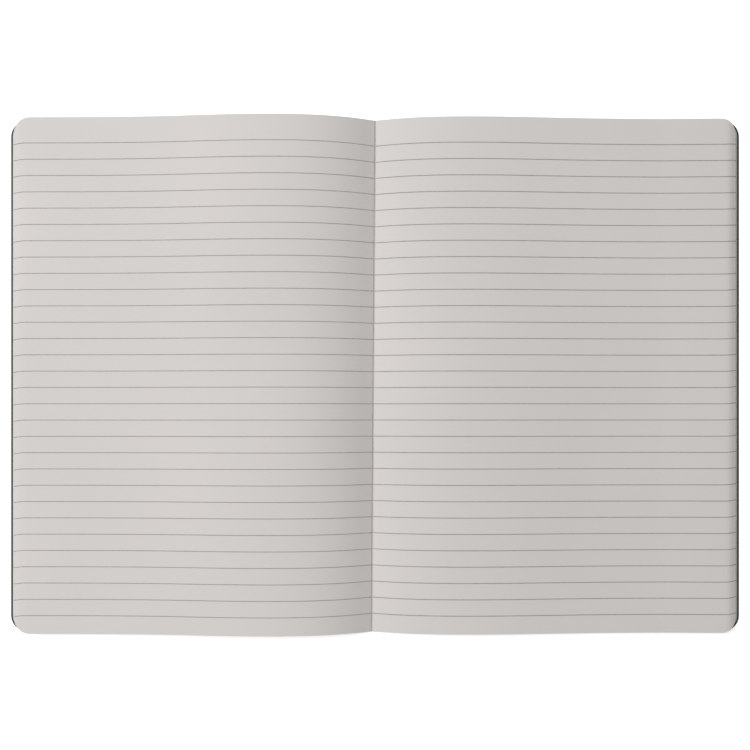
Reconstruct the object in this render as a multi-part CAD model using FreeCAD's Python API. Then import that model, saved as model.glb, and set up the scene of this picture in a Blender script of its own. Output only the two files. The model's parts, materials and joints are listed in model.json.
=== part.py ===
import FreeCAD, Part
import os

# A sewn composition notebook lying open: two leaf blocks arch out of one gutter
# over a folded card cover. X runs across the spread, Y up the page, Z up, and
# the origin is on the table under the middle of the spread.

# Page format
page_height = 254.0
corner_radius = 8.0

# Cover: one sheet of card, folded under the gutter
spread_width = 362.0
card_thickness = 0.6
endpaper_thickness = 0.15
endpaper_inset = 1.0
leaf_inset = 1.2

# Sewn fold, with the narrow slit between the two facing pages
fold_x = -1.1
fold_leaf_height = 0.2
fold_gap = 0.3

# Left block: distances from the fold, rises over the fold
left_arch = [(8.0, 4.1), (22.0, 9.1), (48.0, 12.0), (78.0, 10.6), (108.0, 7.7), (138.0, 6.4)]
left_root_slope = 0.52
left_shoulder = (173.6, 6.05)
left_lip_inset = 2.2
left_lip_rise = 5.3
left_rounding = 3.0

# Right block, with fewer leaves
right_arch = [(10.0, 3.5), (22.0, 6.1), (48.0, 7.75), (78.0, 6.3), (108.0, 4.1), (140.0, 3.0)]
right_root_slope = 0.37
right_shoulder = (176.1, 3.85)
right_lip_inset = 1.3
right_lip_rise = 1.9
right_rounding = 1.4

half_width = spread_width / 2
endpaper_level = card_thickness
leaf_level = endpaper_level + endpaper_thickness
fold_level = leaf_level + fold_leaf_height

LEFT = -1
RIGHT = 1


def at(x, z):
    """A point of the cross-section."""
    return FreeCAD.Vector(x, -page_height / 2, z)


def line(a, b):
    return Part.LineSegment(a, b).toShape()


def sheet(side, edge_x, bottom, thickness):
    """A flat sheet from the fold out to one fore edge, with two rounded corners."""
    outer = side * edge_x
    width = abs(outer - fold_x)
    blank = Part.makeBox(
        width, page_height, thickness,
        FreeCAD.Vector(min(fold_x, outer), -page_height / 2, bottom),
    )
    corners = [
        edge for edge in blank.Edges
        if all(abs(v.X - outer) < 1e-6 for v in edge.Vertexes)
        and abs(edge.Vertexes[0].Z - edge.Vertexes[1].Z) > 1e-6
    ]
    return blank.makeFillet(corner_radius, corners)


def over_fold(side, station):
    """A point given by its distance from the fold and its rise over it."""
    distance, rise = station
    return at(fold_x + side * distance, fold_level + rise)


def arch_curve(side, arch, shoulder, root_slope):
    """The top leaf's line from the fold to the shoulder of the fore edge."""
    stations = [(fold_gap / 2, 0.0)] + arch + [shoulder]
    points = [over_fold(side, station) for station in stations]
    start = FreeCAD.Vector(side, 0, root_slope)
    end_run = shoulder[0] - arch[-1][0]
    end_slope = (shoulder[1] - arch[-1][1]) / end_run
    end = FreeCAD.Vector(side, 0, end_slope)
    curve = Part.BSplineCurve()
    curve.interpolate(Points=points, InitialTangent=start, FinalTangent=end)
    return curve


def leaf_ends(side, lip_inset, lip_rise):
    """Where the lowest and the topmost leaf end."""
    toe = at(side * (half_width - leaf_inset), leaf_level)
    lip = at(toe.x - side * lip_inset, fold_level + lip_rise)
    return toe, lip


def block_profile(side, curve, toe, lip, rounding):
    """Cross-section of one leaf block: arch, drooping edge, leaf ends, flat foot."""
    top = curve.value(curve.LastParameter)
    fall = lip - top
    droop_start = top + fall * (rounding / fall.Length)
    turn_at = curve.parameterAtDistance(curve.length() - rounding)
    turn = curve.value(turn_at)
    kept = curve.copy()
    kept.segment(curve.FirstParameter, turn_at)
    shoulder = Part.BezierCurve()
    shoulder.setPoles([turn, top, droop_start])
    root_top = over_fold(side, (fold_gap / 2, 0.0))
    root_foot = at(root_top.x, leaf_level)
    edges = [
        kept.toShape(),
        shoulder.toShape(),
        line(droop_start, lip),
        line(lip, toe),
        line(toe, root_foot),
        line(root_foot, root_top),
    ]
    return Part.Face(Part.Wire(Part.__sortEdges__(edges)))


def corner_outline(side, base, end):
    """What lies outside one rounded corner, at the height and reach of base."""
    margin = 6.0
    head = end * page_height / 2
    inner = base.x - side * corner_radius
    out = base.x + side * margin
    turn = corner_radius * (1 - 0.5 ** 0.5)
    a = FreeCAD.Vector(inner, head, base.z)
    middle = FreeCAD.Vector(base.x - side * turn, head - end * turn, base.z)
    b = FreeCAD.Vector(base.x, head - end * corner_radius, base.z)
    far_b = FreeCAD.Vector(out, b.y, base.z)
    far = FreeCAD.Vector(out, head + end * margin, base.z)
    far_a = FreeCAD.Vector(inner, head + end * margin, base.z)
    return Part.Face(Part.Wire([
        Part.Arc(a, middle, b).toShape(),
        line(b, far_b),
        line(far_b, far),
        line(far, far_a),
        line(far_a, a),
    ]))


def corner_cutters(side, toe, lip):
    """The leaf ends lean up to the lip, and the top leaf's corner stands over it."""
    lean = lip - toe
    below = toe - lean * 0.3
    over = FreeCAD.Vector(0, 0, page_height / 10)
    cutters = []
    for end in (-1, 1):
        cutters.append(corner_outline(side, below, end).extrude(lean * 1.3))
        cutters.append(corner_outline(side, lip, end).extrude(over))
    return cutters


def leaf_block(side, curve, lip_inset, lip_rise, rounding):
    """All leaves of one side as one solid."""
    toe, lip = leaf_ends(side, lip_inset, lip_rise)
    profile = block_profile(side, curve, toe, lip, rounding)
    block = profile.extrude(FreeCAD.Vector(0, page_height, 0))
    for cutter in corner_cutters(side, toe, lip):
        block = block.cut(cutter)
    return block.Solids[0]


nodes = {
    "front_cover": sheet(LEFT, half_width, 0.0, card_thickness),
    "back_cover": sheet(RIGHT, half_width, 0.0, card_thickness),
    "front_endpaper": sheet(
        LEFT, half_width - endpaper_inset, endpaper_level, endpaper_thickness
    ),
    "back_endpaper": sheet(
        RIGHT, half_width - endpaper_inset, endpaper_level, endpaper_thickness
    ),
    "left_pages": leaf_block(
        LEFT, arch_curve(LEFT, left_arch, left_shoulder, left_root_slope),
        left_lip_inset, left_lip_rise, left_rounding,
    ),
    "right_pages": leaf_block(
        RIGHT, arch_curve(RIGHT, right_arch, right_shoulder, right_root_slope),
        right_lip_inset, right_lip_rise, right_rounding,
    ),
}

os.makedirs("parts", exist_ok=True)
for name, shape in nodes.items():
    shape.exportStep("parts/" + name + ".step")
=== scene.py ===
import json
import math

import bpy
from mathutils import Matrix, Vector

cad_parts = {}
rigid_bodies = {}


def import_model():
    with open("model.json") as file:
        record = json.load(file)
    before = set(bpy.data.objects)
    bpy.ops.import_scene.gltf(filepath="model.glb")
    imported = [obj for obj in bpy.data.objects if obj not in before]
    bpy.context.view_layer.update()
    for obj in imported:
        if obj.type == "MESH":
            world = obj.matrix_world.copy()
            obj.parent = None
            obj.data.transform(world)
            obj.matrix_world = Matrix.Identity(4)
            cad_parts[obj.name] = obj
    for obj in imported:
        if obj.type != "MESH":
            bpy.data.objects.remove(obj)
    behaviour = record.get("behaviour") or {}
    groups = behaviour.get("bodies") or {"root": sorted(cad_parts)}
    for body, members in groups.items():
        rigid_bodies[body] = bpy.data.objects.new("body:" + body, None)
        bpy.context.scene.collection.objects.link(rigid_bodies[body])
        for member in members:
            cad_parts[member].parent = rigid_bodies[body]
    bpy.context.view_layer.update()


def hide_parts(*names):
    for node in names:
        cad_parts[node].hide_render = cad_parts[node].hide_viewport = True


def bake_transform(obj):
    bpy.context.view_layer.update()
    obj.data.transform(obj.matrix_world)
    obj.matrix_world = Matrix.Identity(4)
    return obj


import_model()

# Open composition notebook: leaves fanned over a folded card cover.
# Lengths in the settings are millimetres, but metres in the studio's and in the scene.
mm = 0.001
pageHeight = 254
spreadWidth = 362
cornerRadius = 8
foldX = -1.1 * mm
foldGap = 0.3 * mm  # the slit between the two facing pages
leafLevel = 0.75 * mm  # top of the end sheets, where the lowest leaves lie


def paint(red, green, blue):
    # screen colour, 0 to 255, to the linear values that nodes take
    linear = []
    for value in (red, green, blue):
        value = value / 255
        linear.append(value / 12.92 if value <= 0.04045 else ((value + 0.055) / 1.055) ** 2.4)
    return (*linear, 1.0)


# ---- node helpers

def addNode(tree, kind, place, **inputs):
    node = tree.nodes.new(kind)
    node.location = place
    for name, value in inputs.items():
        node.inputs[name].default_value = value
    return node


def feed(tree, socket, value):
    # a socket takes a link or a plain value
    if isinstance(value, bpy.types.NodeSocket):
        tree.links.new(value, socket)
    elif value is not None:
        socket.default_value = value


def mathNode(tree, operation, place, a=None, b=None, c=None, clamp=False):
    node = addNode(tree, "ShaderNodeMath", place)
    node.operation = operation
    node.use_clamp = clamp
    for socket, value in zip(node.inputs, (a, b, c)):
        feed(tree, socket, value)
    return node.outputs[0]


def noiseNode(tree, vector, scale, detail, place):
    node = addNode(tree, "ShaderNodeTexNoise", place, Scale=scale, Detail=detail)
    tree.links.new(vector, node.inputs["Vector"])
    return node.outputs["Fac"]


def meshField(tree, name, place):
    node = addNode(tree, "ShaderNodeAttribute", place)
    node.attribute_name = name
    return node.outputs["Fac"]


def objectPoints(tree, place):
    points = addNode(tree, "ShaderNodeTexCoord", place)
    return points.outputs["Object"]


def mixColour(tree, factor, first, second, place):
    node = addNode(tree, "ShaderNodeMix", place)
    node.data_type = "RGBA"
    sockets = (node.inputs[0], node.inputs[6], node.inputs[7])
    for socket, value in zip(sockets, (factor, first, second)):
        feed(tree, socket, value)
    return node.outputs[2]


def newMaterial(name):
    material = bpy.data.materials.new(name)
    material.use_nodes = True
    tree = material.node_tree
    surface = tree.nodes["Principled BSDF"]
    surface.location = (600, 0)
    tree.nodes["Material Output"].location = (900, 0)
    return material, tree, surface


def addBump(tree, surface, height, strength, depth, place):
    bump = addNode(tree, "ShaderNodeBump", place, Strength=strength, Distance=depth * mm)
    tree.links.new(height, bump.inputs["Height"])
    tree.links.new(bump.outputs["Normal"], surface.inputs["Normal"])


# ---- materials

paper = {
    "sheet": paint(214, 210, 207),
    "cloud": paint(208, 205, 203),
    "cutEdge": paint(206, 202, 199),
    "cutShade": paint(180, 175, 172),
    # painted shade: dark tone for the strip of leaf beside the fold, standing in for the shadow in
    # the gutter
    "crease": paint(128, 122, 120),
    "cloudScale": 14,
    "cloudContrast": (1.4, -0.2),  # gain and offset of the noise
    "fibreScale": 2600,
    "fibreShare": 0.35,
    "fibreRoughness": 0.12,
    "roughness": 0.82,
    "specular": 0.25,
    "bump": (0.12, 0.06),  # strength and depth
}


def writingPaper(name, withLeaves):
    # uncoated sheet: cloudy tone, fine fibres, darker along the cut edges, and painted shade on
    # the strip beside the fold
    material, tree, surface = newMaterial(name)
    points = objectPoints(tree, (-900, 200))
    cloud = noiseNode(tree, points, paper["cloudScale"], 3, (-640, 260))
    fibre = noiseNode(tree, points, paper["fibreScale"], 2, (-640, 60))
    gain, offset = paper["cloudContrast"]
    tone = mathNode(tree, "MULTIPLY_ADD", (-420, 200), cloud, gain, offset)
    base = mathNode(tree, "SUBTRACT", (-330, 30), tone, paper["fibreShare"] / 2)
    speck = mathNode(
        tree, "MULTIPLY_ADD", (-240, 120), fibre, paper["fibreShare"], base, clamp=True
    )
    colour = mixColour(tree, speck, paper["sheet"], paper["cloud"], (-40, 180))
    if withLeaves:
        leafTone = meshField(tree, "leafTone", (-420, -140))
        cutEdge = meshField(tree, "cutEdge", (-420, -320))
        # painted shade: the strip beside the fold is darkened to stand in for the shadow in the
        # gutter
        crease = meshField(tree, "crease", (180, 300))
        edge = mixColour(tree, leafTone, paper["cutEdge"], paper["cutShade"], (-40, -120))
        colour = mixColour(tree, cutEdge, colour, edge, (180, 60))
        colour = mixColour(tree, crease, colour, paper["crease"], (360, 240))
    tree.links.new(colour, surface.inputs["Base Color"])
    grain = mathNode(tree, "MULTIPLY", (0, -420), fibre, paper["fibreRoughness"])
    rough = mathNode(tree, "ADD", (200, -420), grain, paper["roughness"])
    tree.links.new(rough, surface.inputs["Roughness"])
    surface.inputs["Specular IOR Level"].default_value = paper["specular"]
    addBump(tree, surface, fibre, *paper["bump"], (250, -200))
    return material


rulingInk = {
    "line": paint(146, 142, 143),
    "worn": paint(162, 158, 158),
    "takeScale": 420,
    "takeContrast": (2.4, -0.7),
    "roughness": 0.8,
    "specular": 0.2,
}


def greyInk(name):
    # thin printed grey that takes unevenly on the paper
    material, tree, surface = newMaterial(name)
    points = objectPoints(tree, (-600, 100))
    take = noiseNode(tree, points, rulingInk["takeScale"], 3, (-380, 100))
    gain, offset = rulingInk["takeContrast"]
    spread = mathNode(tree, "MULTIPLY_ADD", (-180, 100), take, gain, offset, clamp=True)
    colour = mixColour(tree, spread, rulingInk["line"], rulingInk["worn"], (40, 100))
    tree.links.new(colour, surface.inputs["Base Color"])
    surface.inputs["Roughness"].default_value = rulingInk["roughness"]
    surface.inputs["Specular IOR Level"].default_value = rulingInk["specular"]
    return material


card = {
    "black": paint(20, 20, 21),
    "lift": paint(27, 27, 28),
    "grainScale": 900,
    "rubScale": 240,
    "rubContrast": (1.4, -0.4),
    "rubRoughness": 0.16,
    "roughness": 0.46,
    "specular": 0.22,
    "bump": (0.35, 0.08),
}


def blackCard(name):
    # coated black card with a small pebbled grain, rubbed a little in places
    material, tree, surface = newMaterial(name)
    points = objectPoints(tree, (-900, 100))
    pebble = addNode(tree, "ShaderNodeTexVoronoi", (-640, 200), Scale=card["grainScale"])
    tree.links.new(points, pebble.inputs["Vector"])
    rub = noiseNode(tree, points, card["rubScale"], 4, (-640, -60))
    gain, offset = card["rubContrast"]
    worn = mathNode(tree, "MULTIPLY_ADD", (-420, -60), rub, gain, offset, clamp=True)
    colour = mixColour(tree, worn, card["black"], card["lift"], (-120, 60))
    tree.links.new(colour, surface.inputs["Base Color"])
    dull = mathNode(
        tree, "MULTIPLY_ADD", (-120, -180), worn, card["rubRoughness"], card["roughness"]
    )
    tree.links.new(dull, surface.inputs["Roughness"])
    surface.inputs["Specular IOR Level"].default_value = card["specular"]
    addBump(tree, surface, pebble.outputs["Distance"], *card["bump"], (160, -200))
    return material


leafPaper = writingPaper("leafPaper", True)
endPaper = writingPaper("endPaper", False)
ruleInk = greyInk("ruleInk")
coverCard = blackCard("coverCard")
print("materials made")


# ---- shapes that the leaves and the cover share

def cornerStations(length, radius, turns):
    # distances that crowd together round a corner and end at the edge
    return [length - radius * (1 - math.sin(math.pi / 2 * i / turns)) for i in range(turns + 1)]


def roundedHalf(fromEdge, half, radius):
    # half the sheet's height at a distance from its fore edge
    if fromEdge >= radius:
        return half
    return half - radius + math.sqrt(max(radius ** 2 - (radius - fromEdge) ** 2, 0))


# ---- leaves

leftBlock = {
    "node": "left_pages",
    "side": -1,
    "lineDrift": -0.8,  # how far a line runs off towards the head at the fore edge
    "lineWidth": 0.31,
    "leafCount": 63,
    "lowWidth": 178.5,  # the lowest leaf, from the fold
    "topReach": 176.3,  # where the topmost leaf ends
    "seed": 3,
}

rightBlock = {
    "node": "right_pages",
    "side": 1,
    "lineDrift": 0.8,
    "lineWidth": 0.36,
    "leafCount": 37,
    "lowWidth": 180.7,
    "topReach": 179.4,
    "seed": 8,
}

leafShape = {
    "height": 253.7,
    "crease": (0.22, 0.5),  # stations of the fold beside the sewing
    "rootStart": 0.02,
    "lineSteps": 240,
    "spanColumns": 48,
    "columnBias": 1.35,
    "cornerColumns": 10,
    "paperShare": 0.86,  # paper in a leaf's share of the block, the rest is air
    "raggedEdge": 0.1,
    "lean": 0.9,  # sideways, over half the height of a leaf
    "leanPivot": 52,  # below the middle, where a leaf stays on the fold
    "leanReach": 70,  # from the fold to where the lean has faded out
    "rootFlex": 3.5,  # the strip that bends when the book closes
}


def rootX(block):
    # the leaves stop just short of the fold, which leaves the dark slit of the gutter
    return foldX + block["side"] * foldGap / 2


def topLine(block):
    # the upper surface of the block, read from the frame's own solid
    solid = bpy.data.objects[block["node"]]
    reach = block["topReach"] * mm
    rootStart = leafShape["rootStart"] * mm
    overBook = 50 * mm
    steps = leafShape["lineSteps"]
    stations = [rootStart] + [part * mm for part in leafShape["crease"]]
    stations += [reach * i / steps for i in range(1, steps + 1)]
    points = []
    for station in stations:
        x = rootX(block) + block["side"] * station
        hit, place, normal, index = solid.ray_cast(Vector((x, 0, overBook)), Vector((0, 0, -1)))
        points.append(Vector((x, 0, place.z if hit else leafLevel)))
    # at the sewing the leaf turns down into the crease
    points[0] = Vector((rootX(block), 0, leafLevel + rootStart))
    return points


def alongLine(points, share):
    # point at a share of the line's length
    lengths = [0.0]
    for a, b in zip(points, points[1:]):
        lengths.append(lengths[-1] + (b - a).length)
    goal = share * lengths[-1]
    for i in range(1, len(points)):
        if lengths[i] >= goal or i == len(points) - 1:
            step = lengths[i] - lengths[i - 1]
            return points[i - 1].lerp(points[i], (goal - lengths[i - 1]) / step)


def leafColumns(length):
    # distances from the fold: the crease, then wider steps outwards, then the corners
    radius = cornerRadius * mm
    span = leafShape["spanColumns"]
    flat = length - radius
    columns = [0.0] + [part * mm for part in leafShape["crease"]]
    columns += [flat * (i / span) ** leafShape["columnBias"] for i in range(1, span)]
    return columns + cornerStations(length, radius, leafShape["cornerColumns"])


def oneLeaf(block, line):
    # a single leaf in its topmost place, which also knows where the lowest one lies
    lowWidth = block["lowWidth"] * mm
    columns = leafColumns(lowWidth)
    corners = []
    lowPlaces = []
    upper = []
    weights = []
    for distance in columns:
        share = distance / lowWidth
        top = alongLine(line, share)
        half = roundedHalf(lowWidth - distance, leafShape["height"] / 2 * mm, cornerRadius * mm)
        lowX = rootX(block) + block["side"] * distance
        for side in (0, 1):
            for y in (half, -half):
                corners.append((top.x, y, top.z))
                lowPlaces.append((lowX, y, leafLevel))
                upper.append(float(side))
                weights.append(share ** 2)
    faces = []
    cut = []
    # painted shade: the first strip beside the fold and the end face at the fold are marked for
    # the dark gutter tone
    creaseShadeFaces = []
    count = len(columns)
    for i in range(count - 1):
        a, b = 4 * i, 4 * (i + 1)
        creaseShadeFaces += [float(i == 0)] * 4
        faces += [(a + 2, a + 3, b + 3, b + 2), (a, b, b + 1, a + 1)]
        cut += [0.0, 0.0]
        faces += [(a, a + 2, b + 2, b), (a + 1, b + 1, b + 3, a + 3)]
        cut += [1.0, 1.0]
    last = 4 * (count - 1)
    faces += [(last, last + 2, last + 3, last + 1), (0, 1, 3, 2)]
    cut += [1.0, 1.0]
    creaseShadeFaces += [0.0, 1.0]
    if block["side"] < 0:
        faces = [tuple(reversed(face)) for face in faces]
    mesh = bpy.data.meshes.new(block["node"] + "Leaf")
    mesh.from_pydata(corners, [], faces)
    for name, kind, domain, key, values in (
        ("lowPlace", "FLOAT_VECTOR", "POINT", "vector", [v for place in lowPlaces for v in place]),
        ("upperSide", "FLOAT", "POINT", "value", upper),
        ("edgeWeight", "FLOAT", "POINT", "value", weights),
        ("cutEdge", "FLOAT", "FACE", "value", cut),
        ("crease", "FLOAT", "FACE", "value", creaseShadeFaces),
    ):
        layer = mesh.attributes.new(name, kind, domain)
        layer.data.foreach_set(key, values)
    mesh.shade_smooth()
    edgeFaces = {}
    for polygon in mesh.polygons:
        for key in polygon.edge_keys:
            edgeFaces.setdefault(key, []).append(cut[polygon.index])
    sharp = mesh.attributes.new("sharp_edge", "BOOLEAN", "EDGE")
    sharp.data.foreach_set("value", [len(set(edgeFaces[edge.key])) > 1 for edge in mesh.edges])
    return mesh


def geoTree(name, inputs):
    tree = bpy.data.node_groups.new(name, "GeometryNodeTree")
    tree.interface.new_socket("Geometry", in_out="INPUT", socket_type="NodeSocketGeometry")
    for label, kind, value in inputs:
        socket = tree.interface.new_socket(label, in_out="INPUT", socket_type=kind)
        if value is not None:
            socket.default_value = value
    tree.interface.new_socket("Geometry", in_out="OUTPUT", socket_type="NodeSocketGeometry")
    start = addNode(tree, "NodeGroupInput", (-1400, 0))
    end = addNode(tree, "NodeGroupOutput", (1200, 0))
    return tree, start, end


def readField(tree, name, kind, place):
    node = addNode(tree, "GeometryNodeInputNamedAttribute", place)
    node.data_type = kind
    node.inputs["Name"].default_value = name
    return node.outputs["Attribute"]


def storeField(tree, geometry, name, value, place):
    node = addNode(tree, "GeometryNodeStoreNamedAttribute", place)
    node.data_type = "FLOAT"
    node.domain = "INSTANCE"
    node.inputs["Name"].default_value = name
    tree.links.new(geometry, node.inputs["Geometry"])
    tree.links.new(value, node.inputs["Value"])
    return node.outputs["Geometry"]


def randomField(tree, low, high, ident, seed, place):
    node = addNode(tree, "FunctionNodeRandomValue", place)
    node.data_type = "FLOAT"
    node.inputs[2].default_value = low
    node.inputs[3].default_value = high
    tree.links.new(ident, node.inputs["ID"])
    tree.links.new(seed, node.inputs["Seed"])
    return node.outputs[1]


def leanedNodes(tree, geometry, start, place):
    # the sewn leaves lean over the fold, to the right at the head, to the left at the tail
    x, y = place
    position = addNode(tree, "GeometryNodeInputPosition", (x, y - 200))
    axes = addNode(tree, "ShaderNodeSeparateXYZ", (x + 160, y - 200))
    tree.links.new(position.outputs[0], axes.inputs[0])
    away = mathNode(tree, "SUBTRACT", (x + 320, y - 200), axes.outputs["X"], foldX)
    away = mathNode(tree, "ABSOLUTE", (x + 480, y - 200), away)
    fade = addNode(tree, "ShaderNodeMapRange", (x + 640, y - 200))
    fade.interpolation_type = "SMOOTHSTEP"
    tree.links.new(away, fade.inputs["Value"])
    tree.links.new(start.outputs["Lean Reach"], fade.inputs["From Max"])
    fade.inputs["To Min"].default_value = 1
    fade.inputs["To Max"].default_value = 0
    up = mathNode(tree, "ADD", (x + 320, y - 420), axes.outputs["Y"], start.outputs["Lean Pivot"])
    lean = mathNode(tree, "MULTIPLY", (x + 480, y - 420), up, start.outputs["Lean"])
    lean = mathNode(tree, "MULTIPLY", (x + 820, y - 200), lean, fade.outputs["Result"])
    shift = addNode(tree, "ShaderNodeCombineXYZ", (x + 980, y - 200))
    tree.links.new(lean, shift.inputs["X"])
    move = addNode(tree, "GeometryNodeSetPosition", (x + 1140, y))
    tree.links.new(geometry, move.inputs["Geometry"])
    tree.links.new(shift.outputs[0], move.inputs["Offset"])
    return move.outputs[0]


def fanTree():
    # copies one leaf from the lowest place up to the topmost, each with its own tone and slip
    tree, start, end = geoTree("fanLeaves", [
        ("Leaf Count", "NodeSocketInt", 50),
        ("Paper Share", "NodeSocketFloat", 0.86),
        ("Ragged Edge", "NodeSocketFloat", 0.0001),
        ("Outward", "NodeSocketFloat", 1.0),
        ("Lean", "NodeSocketFloat", 0.0),
        ("Lean Pivot", "NodeSocketFloat", 0.0),
        ("Lean Reach", "NodeSocketFloat", 0.07),
        ("Seed", "NodeSocketInt", 1),
        ("Material", "NodeSocketMaterial", None),
    ])
    link = tree.links.new
    single = addNode(tree, "GeometryNodeGeometryToInstance", (-1200, 100))
    link(start.outputs["Geometry"], single.inputs[0])
    copies = addNode(tree, "GeometryNodeDuplicateElements", (-1000, 100))
    copies.domain = "INSTANCE"
    link(single.outputs[0], copies.inputs["Geometry"])
    link(start.outputs["Leaf Count"], copies.inputs["Amount"])
    order = copies.outputs["Duplicate Index"]
    count = start.outputs["Leaf Count"]
    share = mathNode(tree, "DIVIDE", (-1000, -140), order, count)
    seedTwo = mathNode(tree, "ADD", (-1000, -420), start.outputs["Seed"], 7)
    seedThree = mathNode(tree, "ADD", (-1000, -560), start.outputs["Seed"], 19)
    tone = randomField(tree, 0, 1, order, start.outputs["Seed"], (-800, -280))
    slip = randomField(tree, -1, 1, order, seedTwo, (-800, -460))
    rise = randomField(tree, -1, 1, order, seedThree, (-800, -640))
    body = storeField(tree, copies.outputs["Geometry"], "leafShare", share, (-600, 100))
    body = storeField(tree, body, "leafTone", tone, (-420, 100))
    body = storeField(tree, body, "leafSlip", slip, (-240, 100))
    body = storeField(tree, body, "leafRise", rise, (-60, 100))
    real = addNode(tree, "GeometryNodeRealizeInstances", (120, 100))
    link(body, real.inputs[0])
    # each side of the sheet sits at its own share of the way up
    skin = mathNode(tree, "DIVIDE", (-240, -140), start.outputs["Paper Share"], count)
    skin = mathNode(
        tree, "MULTIPLY", (-60, -140), skin, readField(tree, "upperSide", "FLOAT", (-240, -300))
    )
    level = mathNode(
        tree, "ADD", (120, -140), skin, readField(tree, "leafShare", "FLOAT", (-60, -300))
    )
    place = addNode(tree, "ShaderNodeMix", (320, -140))
    place.data_type = "VECTOR"
    link(level, place.inputs["Factor"])
    link(readField(tree, "lowPlace", "FLOAT_VECTOR", (120, -300)), place.inputs[4])
    position = addNode(tree, "GeometryNodeInputPosition", (120, -440))
    link(position.outputs[0], place.inputs[5])
    # small slips at the fore edge, the head and the tail
    out = mathNode(
        tree, "MULTIPLY", (120, -560),
        readField(tree, "leafSlip", "FLOAT", (-60, -560)),
        readField(tree, "edgeWeight", "FLOAT", (-60, -700)),
    )
    out = mathNode(tree, "MULTIPLY", (300, -560), out, start.outputs["Ragged Edge"])
    out = mathNode(tree, "MULTIPLY", (480, -560), out, start.outputs["Outward"])
    up = mathNode(
        tree, "MULTIPLY", (300, -740),
        readField(tree, "leafRise", "FLOAT", (120, -740)), start.outputs["Ragged Edge"],
    )
    slipped = addNode(tree, "ShaderNodeCombineXYZ", (640, -600))
    link(out, slipped.inputs["X"])
    link(up, slipped.inputs["Y"])
    move = addNode(tree, "GeometryNodeSetPosition", (800, 100))
    link(real.outputs[0], move.inputs["Geometry"])
    link(place.outputs[1], move.inputs["Position"])
    link(slipped.outputs[0], move.inputs["Offset"])
    leaned = leanedNodes(tree, move.outputs[0], start, (1000, 100))
    dress = addNode(tree, "GeometryNodeSetMaterial", (2320, 100))
    link(leaned, dress.inputs["Geometry"])
    link(start.outputs["Material"], dress.inputs["Material"])
    link(dress.outputs[0], end.inputs[0])
    return tree


def ruleTree():
    # sweeps one printed line over the page, then repeats it down the page
    tree, start, end = geoTree("ruleLines", [
        ("Line Count", "NodeSocketInt", 30),
        ("Line Width", "NodeSocketFloat", 0.0003),
        ("Line Depth", "NodeSocketFloat", 0.00002),
        ("Pitch", "NodeSocketFloat", 0.008),
        ("First Line", "NodeSocketFloat", 0.11),
        ("Lean", "NodeSocketFloat", 0.0),
        ("Lean Pivot", "NodeSocketFloat", 0.0),
        ("Lean Reach", "NodeSocketFloat", 0.07),
        ("Material", "NodeSocketMaterial", None),
    ])
    link = tree.links.new
    path = addNode(tree, "GeometryNodeMeshToCurve", (-1100, 100))
    link(start.outputs["Geometry"], path.inputs[0])
    level = addNode(tree, "GeometryNodeSetCurveNormal", (-900, 100))
    level.mode = "Z_UP"
    link(path.outputs[0], level.inputs["Curve"])
    section = addNode(tree, "GeometryNodeCurvePrimitiveQuadrilateral", (-900, -120))
    link(start.outputs["Line Width"], section.inputs["Width"])
    link(start.outputs["Line Depth"], section.inputs["Height"])
    sweep = addNode(tree, "GeometryNodeCurveToMesh", (-680, 100))
    sweep.inputs["Fill Caps"].default_value = True
    link(level.outputs[0], sweep.inputs["Curve"])
    link(section.outputs[0], sweep.inputs["Profile Curve"])
    stations = addNode(tree, "GeometryNodeMeshLine", (-460, -200))
    stations.mode = "OFFSET"
    link(start.outputs["Line Count"], stations.inputs["Count"])
    first = addNode(tree, "ShaderNodeCombineXYZ", (-680, -240))
    link(start.outputs["First Line"], first.inputs["Y"])
    link(first.outputs[0], stations.inputs["Start Location"])
    down = mathNode(tree, "MULTIPLY", (-900, -400), start.outputs["Pitch"], -1.0)
    step = addNode(tree, "ShaderNodeCombineXYZ", (-680, -400))
    link(down, step.inputs["Y"])
    link(step.outputs[0], stations.inputs["Offset"])
    repeat = addNode(tree, "GeometryNodeInstanceOnPoints", (-240, 100))
    link(stations.outputs[0], repeat.inputs["Points"])
    link(sweep.outputs[0], repeat.inputs["Instance"])
    real = addNode(tree, "GeometryNodeRealizeInstances", (0, 100))
    link(repeat.outputs[0], real.inputs[0])
    leaned = leanedNodes(tree, real.outputs[0], start, (200, 100))
    dress = addNode(tree, "GeometryNodeSetMaterial", (1520, 100))
    link(leaned, dress.inputs["Geometry"])
    link(start.outputs["Material"], dress.inputs["Material"])
    link(dress.outputs[0], end.inputs[0])
    return tree


def runTree(name, mesh, tree, settings):
    # applies a node tree and keeps its result as a plain mesh
    maker = bpy.data.objects.new(name + "Maker", mesh)
    bpy.context.scene.collection.objects.link(maker)
    modifier = maker.modifiers.new("nodes", "NODES")
    modifier.node_group = tree
    for item in tree.interface.items_tree:
        if item.in_out == "INPUT" and item.name in settings:
            modifier[item.identifier] = settings[item.name]
    graph = bpy.context.evaluated_depsgraph_get()
    made = bpy.data.meshes.new_from_object(maker.evaluated_get(graph), depsgraph=graph)
    bpy.data.objects.remove(maker)
    made.name = name
    piece = bpy.data.objects.new(name, made)
    bpy.context.scene.collection.objects.link(piece)
    return piece


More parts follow.
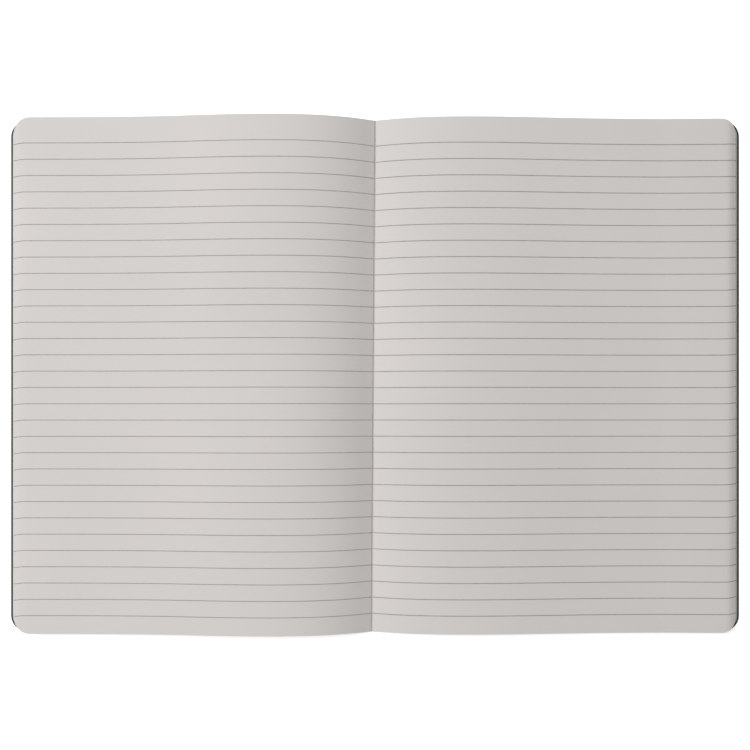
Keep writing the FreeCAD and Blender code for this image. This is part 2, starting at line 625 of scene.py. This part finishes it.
def flexAtFold(piece):
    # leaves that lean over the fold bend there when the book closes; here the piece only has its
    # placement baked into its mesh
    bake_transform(piece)


leanInputs = {
    "Lean": leafShape["lean"] / (leafShape["height"] / 2),
    "Lean Pivot": leafShape["leanPivot"] * mm,
    "Lean Reach": leafShape["leanReach"] * mm,
}
fan = fanTree()
pageLines = {block["node"]: topLine(block) for block in (leftBlock, rightBlock)}
for name, block in (("leftLeaves", leftBlock), ("rightLeaves", rightBlock)):
    leaves = runTree(name, oneLeaf(block, pageLines[block["node"]]), fan, {
        "Leaf Count": block["leafCount"],
        "Paper Share": leafShape["paperShare"],
        "Ragged Edge": leafShape["raggedEdge"] * mm,
        "Outward": float(block["side"]),
        **leanInputs,
        "Seed": block["seed"],
        "Material": leafPaper,
    })
    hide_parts(block["node"])
    flexAtFold(leaves)
print("leaves fanned")


# ---- ruling

ruling = {
    "lineCount": 30,
    "pitch": 8.0,
    "topMargin": 12.8,
    "depth": 0.03,
    "lift": 0.012,  # over the paper, and more over the ragged leaf ends
    "edgeLift": 0.09,
    "edgeSteps": (0.25, 0.5, 0.75, 0.96),  # shares of the way down the leaf ends
    # stations kept at the fold and at the lip, and one in how many between
    "closeRoot": 12,
    "closeLip": 24,
    "thinning": 4,
    "stopShort": 0.15,
    "driftFrom": 172,  # from the middle of the spread outwards
    "driftPower": 1.5,
}


def ruledLine(block):
    # over the top leaf and down the stepped fore edge to the lowest leaf
    line = pageLines[block["node"]]
    root, lip = ruling["closeRoot"], -ruling["closeLip"]
    kept = line[:root] + line[root:lip:ruling["thinning"]] + line[lip:]
    points = [point.copy() for point in kept]
    reach = (block["lowWidth"] - ruling["stopShort"]) * mm
    foot = Vector((rootX(block) + block["side"] * reach, 0, leafLevel))
    drop = foot - points[-1]
    edgeStart = len(points) - 1
    points += [points[-1] + drop * share for share in ruling["edgeSteps"]]
    raised = []
    for i, point in enumerate(points):
        ahead = points[min(i + 1, len(points) - 1)] - points[max(i - 1, 0)]
        normal = Vector((-ahead.z, 0, ahead.x)).normalized() * block["side"]
        lift = ruling["edgeLift"] if i >= edgeStart else ruling["lift"]
        raised.append(point + normal * lift * mm)
    raised[0].x = rootX(block) + block["side"] * leafShape["rootStart"] * mm
    driftReach = block["lowWidth"] - ruling["driftFrom"]
    for point in raised:
        near = max((abs(point.x) / mm - ruling["driftFrom"]) / driftReach, 0)
        point.y = block["lineDrift"] * mm * near ** ruling["driftPower"]
    mesh = bpy.data.meshes.new("ruledLine")
    mesh.from_pydata(raised, [(i, i + 1) for i in range(len(raised) - 1)], [])
    return mesh


rules = ruleTree()
for name, block in (("leftRuling", leftBlock), ("rightRuling", rightBlock)):
    lines = runTree(name, ruledLine(block), rules, {
        "Line Count": ruling["lineCount"],
        "Line Width": block["lineWidth"] * mm,
        "Line Depth": ruling["depth"] * mm,
        "Pitch": ruling["pitch"] * mm,
        "First Line": (pageHeight / 2 - ruling["topMargin"]) * mm,
        **leanInputs,
        "Material": ruleInk,
    })
    flexAtFold(lines)
print("pages ruled")


# ---- cover

cover = {
    "thickness": 0.6,
    "edgeBreak": 0.12,
    "bendFrom": -7.6,  # the card bends from here to the fold
    "bendMargin": 1,
    "bendStep": 0.5,
    "bendColumns": 19,
    "panelColumns": (12, 25, 50, 80, 110, 140),
    "panelStart": 6,
    "cornerColumns": 10,
}


def coverColumns():
    # close together where the card bends, wide apart over the panels
    outer = cornerStations(spreadWidth / 2, cornerRadius, cover["cornerColumns"])
    bendStart = cover["bendFrom"] - cover["bendMargin"]
    bend = [bendStart + cover["bendStep"] * i for i in range(cover["bendColumns"])]
    panel = list(cover["panelColumns"])
    left = [-x for x in reversed(panel + outer)]
    return left + bend + [cover["panelStart"]] + panel + outer


def foldedCard():
    # one sheet of card: a closed shell with its four arrises just broken
    columns = coverColumns()
    edge, thickness = cover["edgeBreak"], cover["thickness"]
    rings = [(edge, 0.0), (0.0, edge), (0.0, thickness - edge), (edge, thickness)]
    halfWide, halfTall = spreadWidth / 2, pageHeight / 2
    reach = [roundedHalf(halfWide - abs(x), halfTall, cornerRadius) for x in columns]
    outline = list(zip(columns, reach))
    outline += [(x, -y) for x, y in reversed(outline)]
    corners = []
    for inset, z in rings:
        shrinkX, shrinkY = 1 - inset / halfWide, 1 - inset / halfTall
        corners += [(x * shrinkX * mm, y * shrinkY * mm, z * mm) for x, y in outline]
    loop = len(outline)
    count = len(columns)
    faces = []
    for level in range(len(rings) - 1):
        for i in range(loop):
            j = (i + 1) % loop
            a, b = level * loop, (level + 1) * loop
            faces.append((a + i, b + i, b + j, a + j))
    for i in range(count - 1):
        tail, nextTail = loop - 1 - i, loop - 2 - i
        top = (len(rings) - 1) * loop
        faces.append((i, i + 1, nextTail, tail))
        faces.append((top + i, top + tail, top + nextTail, top + i + 1))
    mesh = bpy.data.meshes.new("cover")
    mesh.from_pydata(corners, [], faces)
    mesh.materials.append(coverCard)
    mesh.shade_smooth()
    mesh.set_sharp_from_angle(angle=math.radians(35))
    return mesh


sheet = bpy.data.objects.new("coverSheet", foldedCard())
bpy.context.scene.collection.objects.link(sheet)
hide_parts("front_cover", "back_cover")
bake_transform(sheet)
for node in ("front_endpaper", "back_endpaper"):
    solid = bpy.data.objects[node]
    solid.data.materials.clear()
    solid.data.materials.append(endPaper)
print("cover folded")


# ---- studio

studio = {
    "world": 0.3,
    "keyPower": 27.5,
    "keySize": 0.8,
    "keyPlace": (-0.9, 0.42, 1.6),
    "keyColour": (1.0, 0.988, 0.985),
    "floorTone": 0.8,
    "floorGlow": 0.56,
    "floorFade": (0.35, 0.9),
    "floorHalf": 2.5,
    "floorDrop": 0.00015,
    "lens": 48.3,
    "lensShift": 0.0543,
    "cameraPlace": (0.0, -0.0197, 0.501),
}


def seenDirectly(tree, place):
    # one for rays that show the backdrop: camera, mirror and clear materials
    rays = addNode(tree, "ShaderNodeLightPath", place)
    shown = mathNode(
        tree, "MAXIMUM", (place[0] + 200, place[1]),
        rays.outputs["Is Camera Ray"], rays.outputs["Is Glossy Ray"],
    )
    return mathNode(
        tree, "MAXIMUM", (place[0] + 400, place[1]), shown, rays.outputs["Is Transmission Ray"]
    )


def whiteWorld():
    backdrop = bpy.data.worlds.new("studioWorld")
    bpy.context.scene.world = backdrop
    backdrop.use_nodes = True
    tree = backdrop.node_tree
    background = tree.nodes["Background"]
    background.inputs["Color"].default_value = (1, 1, 1, 1)
    shown = seenDirectly(tree, (-900, 0))
    world = studio["world"]
    strength = mathNode(tree, "MULTIPLY_ADD", (-250, 0), shown, 1 - world, world)
    tree.links.new(strength, background.inputs["Strength"])


def whiteFloor():
    material = bpy.data.materials.new("studioFloor")
    material.use_nodes = True
    tree = material.node_tree
    tree.nodes.remove(tree.nodes["Principled BSDF"])
    matte = addNode(tree, "ShaderNodeBsdfDiffuse", (0, 120))
    tone = studio["floorTone"]
    matte.inputs["Color"].default_value = (tone, tone, tone, 1)
    glow = addNode(tree, "ShaderNodeEmission", (0, -80))
    # away from the book the floor melts into the white backdrop
    points = addNode(tree, "ShaderNodeTexCoord", (-1000, -320))
    away = addNode(tree, "ShaderNodeVectorMath", (-820, -320))
    away.operation = "LENGTH"
    tree.links.new(points.outputs["Object"], away.inputs[0])
    fade = addNode(tree, "ShaderNodeMapRange", (-620, -320))
    for index, value in enumerate((*studio["floorFade"], studio["floorGlow"], 1.0)):
        fade.inputs[index + 1].default_value = value
    tree.links.new(away.outputs["Value"], fade.inputs["Value"])
    lift = mathNode(
        tree, "MULTIPLY", (-200, -80), seenDirectly(tree, (-800, -80)), fade.outputs["Result"]
    )
    tree.links.new(lift, glow.inputs["Strength"])
    both = addNode(tree, "ShaderNodeAddShader", (240, 60))
    tree.links.new(matte.outputs[0], both.inputs[0])
    tree.links.new(glow.outputs[0], both.inputs[1])
    tree.links.new(both.outputs[0], tree.nodes["Material Output"].inputs["Surface"])
    half, level = studio["floorHalf"], -studio["floorDrop"]
    mesh = bpy.data.meshes.new("floor")
    mesh.from_pydata(
        [(-half, -half, level), (half, -half, level), (half, half, level), (-half, half, level)],
        [], [(0, 1, 2, 3)],
    )
    mesh.materials.append(material)
    floor = bpy.data.objects.new("floor", mesh)
    bpy.context.scene.collection.objects.link(floor)


def keyLamp():
    lamp = bpy.data.lights.new("keyLamp", "AREA")
    lamp.shape = "SQUARE"
    lamp.size = studio["keySize"]
    lamp.energy = studio["keyPower"]
    lamp.color = studio["keyColour"]
    holder = bpy.data.objects.new("keyLamp", lamp)
    holder.location = studio["keyPlace"]
    holder.rotation_euler = (-Vector(studio["keyPlace"])).to_track_quat("-Z", "Y").to_euler()
    bpy.context.scene.collection.objects.link(holder)


def overheadCamera():
    lens = bpy.data.cameras.new("overheadCamera")
    lens.sensor_width = 36
    lens.lens = studio["lens"]
    lens.shift_y = studio["lensShift"]
    lens.clip_start = 0.01
    holder = bpy.data.objects.new("overheadCamera", lens)
    holder.location = studio["cameraPlace"]
    bpy.context.scene.collection.objects.link(holder)
    bpy.context.scene.camera = holder


whiteWorld()
whiteFloor()
keyLamp()
overheadCamera()
bpy.context.scene.view_settings.view_transform = "Standard"
print("studio set")
